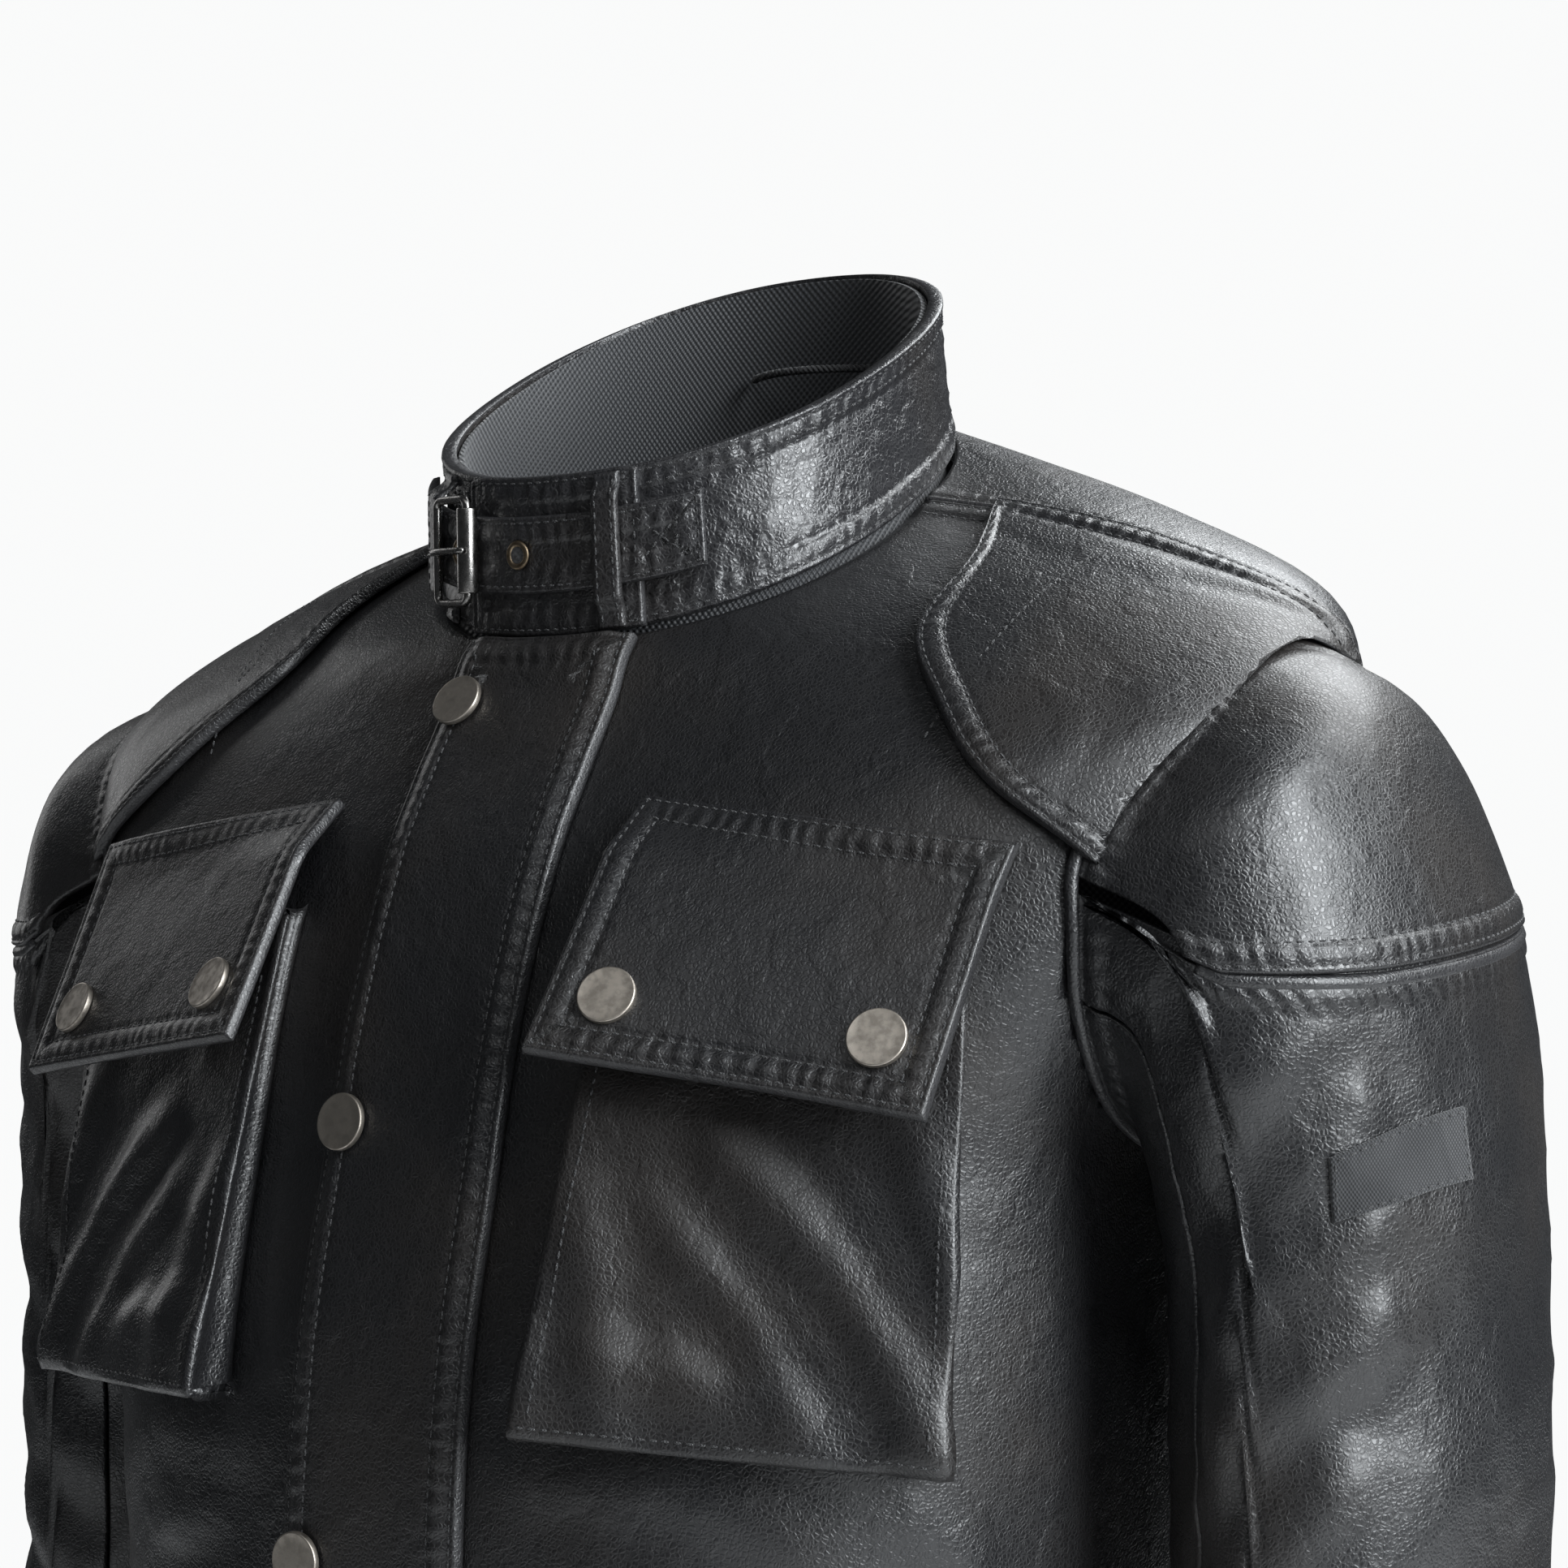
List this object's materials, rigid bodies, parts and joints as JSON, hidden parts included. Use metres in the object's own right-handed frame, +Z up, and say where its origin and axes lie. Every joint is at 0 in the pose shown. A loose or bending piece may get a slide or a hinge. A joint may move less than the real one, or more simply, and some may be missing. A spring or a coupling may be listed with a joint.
{
  "type": "leather riding jacket",
  "caption": "Hip-length leather riding jacket with stand collar and throat strap, storm placket over a zip, flapped bellows pockets, shoulder patches and set-in sleeves.",
  "frame": {"origin": "middle of the hem opening, in the plane of the hem", "axes": "+Z up, -Y the front of the jacket, +X the wearer's left"},
  "size_m": [0.5508, 0.2829, 0.7476],
  "materials": {
    "shell_leather": "semi-gloss aniline cowhide with a fine pebble grain",
    "collar_leather": "glossier, creased lamb leather of the same black",
    "antique_nickel": "matt antique nickel plate",
    "gunmetal": "polished gunmetal plate",
    "antique_brass": "dull antique brass plate",
    "lining_fabric": "quilted satin lining",
    "zip_tape": "woven polyester tape with moulded teeth",
    "badge_fabric": "blank woven badge"
  },
  "bodies": {
    "root": {"back_panel": "shell_leather", "back_yoke": "shell_leather", "body_lining": "lining_fabric", "buckle_frame": "gunmetal", "collar_lining": "lining_fabric", "collar_stand": "collar_leather", "collar_tab": "collar_leather", "eyelet_end": "antique_brass", "eyelet_front": "antique_brass", "hanger_loop": "lining_fabric", "left_chest_flap_band": "shell_leather", "left_chest_pocket": "shell_leather", "left_cuff": "shell_leather", "left_front_panel": "shell_leather", "left_lower_pocket": "shell_leather", "left_shoulder_patch": "shell_leather", "left_sleeve_cap": "shell_leather", "left_top_sleeve": "shell_leather", "left_under_sleeve": "shell_leather", "left_zip_tape": "zip_tape", "right_chest_flap_band": "shell_leather", "right_chest_pocket": "shell_leather", "right_cuff": "shell_leather", "right_front_panel": "shell_leather", "right_lower_pocket": "shell_leather", "right_shoulder_patch": "shell_leather", "right_sleeve_cap": "shell_leather", "right_top_sleeve": "shell_leather", "right_under_sleeve": "shell_leather", "right_zip_tape": "zip_tape", "sleeve_badge": "badge_fabric", "strap_keeper_left": "collar_leather", "strap_keeper_right": "collar_leather", "throat_strap": "collar_leather"},
    "left_chest_flap": {"left_chest_flap": "shell_leather", "left_chest_flap_snap_inner": "antique_nickel", "left_chest_flap_snap_outer": "antique_nickel"},
    "left_lower_flap": {"left_lower_flap": "shell_leather", "left_lower_flap_snap_inner": "antique_nickel", "left_lower_flap_snap_outer": "antique_nickel"},
    "left_cuff_tab": {"left_cuff_tab": "shell_leather", "left_cuff_snap": "antique_nickel"},
    "right_chest_flap": {"right_chest_flap": "shell_leather", "right_chest_flap_snap_inner": "antique_nickel", "right_chest_flap_snap_outer": "antique_nickel"},
    "right_lower_flap": {"right_lower_flap": "shell_leather", "right_lower_flap_snap_inner": "antique_nickel", "right_lower_flap_snap_outer": "antique_nickel"},
    "right_cuff_tab": {"right_cuff_tab": "shell_leather", "right_cuff_snap": "antique_nickel"},
    "storm_placket": {"storm_placket": "shell_leather", "placket_snap_1": "antique_nickel", "placket_snap_2": "antique_nickel", "placket_snap_3": "antique_nickel", "placket_snap_4": "antique_nickel", "placket_snap_5": "antique_nickel"},
    "zip_top_slider": {"zip_top_slider": "gunmetal"},
    "zip_bottom_slider": {"zip_bottom_slider": "gunmetal"},
    "buckle_roller": {"buckle_roller": "gunmetal"},
    "buckle_prong": {"buckle_prong": "gunmetal"}
  },
  "joints": [
    {"name": "left_chest_flap_fold", "type": "hinge", "parent": "root", "child": "left_chest_flap", "pos_m": [0.1085, -0.10911, 0.555], "axis": [-0.97, -0.2174, 0.1088], "range_deg": [0, 140]},
    {"name": "right_chest_flap_fold", "type": "hinge", "parent": "root", "child": "right_chest_flap", "pos_m": [-0.1085, -0.10911, 0.555], "axis": [-0.97, 0.2174, -0.1088], "range_deg": [0, 140]},
    {"name": "left_lower_flap_fold", "type": "hinge", "parent": "root", "child": "left_lower_flap", "pos_m": [0.096, -0.13665, 0.202], "axis": [-0.9498, -0.3129, 0], "range_deg": [0, 140]},
    {"name": "right_lower_flap_fold", "type": "hinge", "parent": "root", "child": "right_lower_flap", "pos_m": [-0.096, -0.13665, 0.202], "axis": [-0.9498, 0.3129, 0], "range_deg": [0, 140]},
    {"name": "storm_placket_fold", "type": "hinge", "parent": "root", "child": "storm_placket", "pos_m": [0.0305, -0.1504, 0.315], "axis": [0, 0, 1], "range_deg": [0, 25]},
    {"name": "left_cuff_tab_fold", "type": "hinge", "parent": "root", "child": "left_cuff_tab", "pos_m": [0.2542, -0.0594, 0.036], "axis": [0, 0, 1], "range_deg": [0, 75]},
    {"name": "right_cuff_tab_fold", "type": "hinge", "parent": "root", "child": "right_cuff_tab", "pos_m": [-0.2542, -0.0594, 0.036], "axis": [0, 0, -1], "range_deg": [0, 75]},
    {"name": "buckle_prong_lift", "type": "hinge", "parent": "root", "child": "buckle_prong", "pos_m": [-0.04334, -0.07344, 0.64894], "axis": [-0.024, 0.0559, -0.9982], "range_deg": [0, 100]},
    {"name": "buckle_roller_spin", "type": "hinge", "parent": "root", "child": "buckle_roller", "pos_m": [-0.02686, -0.07957, 0.6482], "axis": [0.024, -0.0559, 0.9982], "continuous": true},
    {"name": "zip_top_slide", "type": "slide", "parent": "root", "child": "zip_top_slider", "axis": [0, -0.5242, -0.8516], "range_m": [0, 0.032]},
    {"name": "zip_bottom_slide", "type": "slide", "parent": "root", "child": "zip_bottom_slider", "axis": [0, -0.0333, 0.9994], "range_m": [0, 0.16]}
  ]
}
